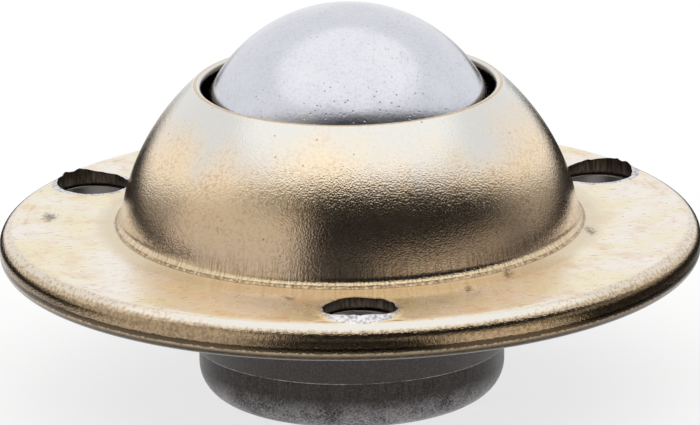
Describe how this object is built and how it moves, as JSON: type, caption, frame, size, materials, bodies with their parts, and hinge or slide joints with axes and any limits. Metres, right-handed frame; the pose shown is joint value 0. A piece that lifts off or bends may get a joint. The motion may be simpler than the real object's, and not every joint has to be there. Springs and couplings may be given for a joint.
{
  "type": "ball castor",
  "caption": "Ball castor: a steel load ball on a layer of support balls in a cup, held by a domed, flanged shell with fixing holes and a folded rim.",
  "frame": {"origin": "on the axis, in the plane of the folded rim's underside, where the flange meets the surface that it is screwed to", "axes": "+Z along the castor's axis towards the load ball, one fixing hole at -Y"},
  "size_m": [0.0575, 0.0574, 0.0326],
  "materials": {
    "passivated_shell": "yellow passivated zinc on pressed steel, softly mottled",
    "base_steel": "dark grey drawn steel",
    "cup_steel": "dark grey turned and hardened steel, with fine drawing lines on the foot",
    "polished_ball": "polished bearing steel with small pits",
    "support_steel": "polished bearing steel"
  },
  "bodies": {
    "housing": {"top_shell": "passivated_shell", "base_pressing": "base_steel", "bearing_cup": "cup_steel"},
    "support_ball_set": {"support_ball_01": "support_steel", "support_ball_02": "support_steel", "support_ball_03": "support_steel", "support_ball_04": "support_steel", "support_ball_05": "support_steel", "support_ball_06": "support_steel", "support_ball_07": "support_steel", "support_ball_08": "support_steel", "support_ball_09": "support_steel", "support_ball_10": "support_steel", "support_ball_11": "support_steel", "support_ball_12": "support_steel", "support_ball_13": "support_steel", "support_ball_14": "support_steel", "support_ball_15": "support_steel", "support_ball_16": "support_steel", "support_ball_17": "support_steel", "support_ball_18": "support_steel", "support_ball_19": "support_steel", "support_ball_20": "support_steel", "support_ball_21": "support_steel", "support_ball_22": "support_steel", "support_ball_23": "support_steel", "support_ball_24": "support_steel", "support_ball_25": "support_steel", "support_ball_26": "support_steel", "support_ball_27": "support_steel", "support_ball_28": "support_steel", "support_ball_29": "support_steel", "support_ball_30": "support_steel", "support_ball_31": "support_steel", "support_ball_32": "support_steel", "support_ball_33": "support_steel", "support_ball_34": "support_steel", "support_ball_35": "support_steel", "support_ball_36": "support_steel", "support_ball_37": "support_steel", "support_ball_38": "support_steel", "support_ball_39": "support_steel", "support_ball_40": "support_steel", "support_ball_41": "support_steel", "support_ball_42": "support_steel", "support_ball_43": "support_steel", "support_ball_44": "support_steel", "support_ball_45": "support_steel", "support_ball_46": "support_steel", "support_ball_47": "support_steel", "support_ball_48": "support_steel", "support_ball_49": "support_steel", "support_ball_50": "support_steel", "support_ball_51": "support_steel", "support_ball_52": "support_steel", "support_ball_53": "support_steel", "support_ball_54": "support_steel"},
    "load_ball": {"load_ball": "polished_ball"}
  },
  "joints": [
    {"name": "ball_swivel", "type": "hinge", "parent": "housing", "child": "support_ball_set", "pos_m": [0, 0, 0.00864], "axis": [0, 0, 1], "continuous": true},
    {"name": "ball_roll", "type": "hinge", "parent": "support_ball_set", "child": "load_ball", "pos_m": [0, 0, 0.00864], "axis": [1, 0, 0], "continuous": true}
  ]
}
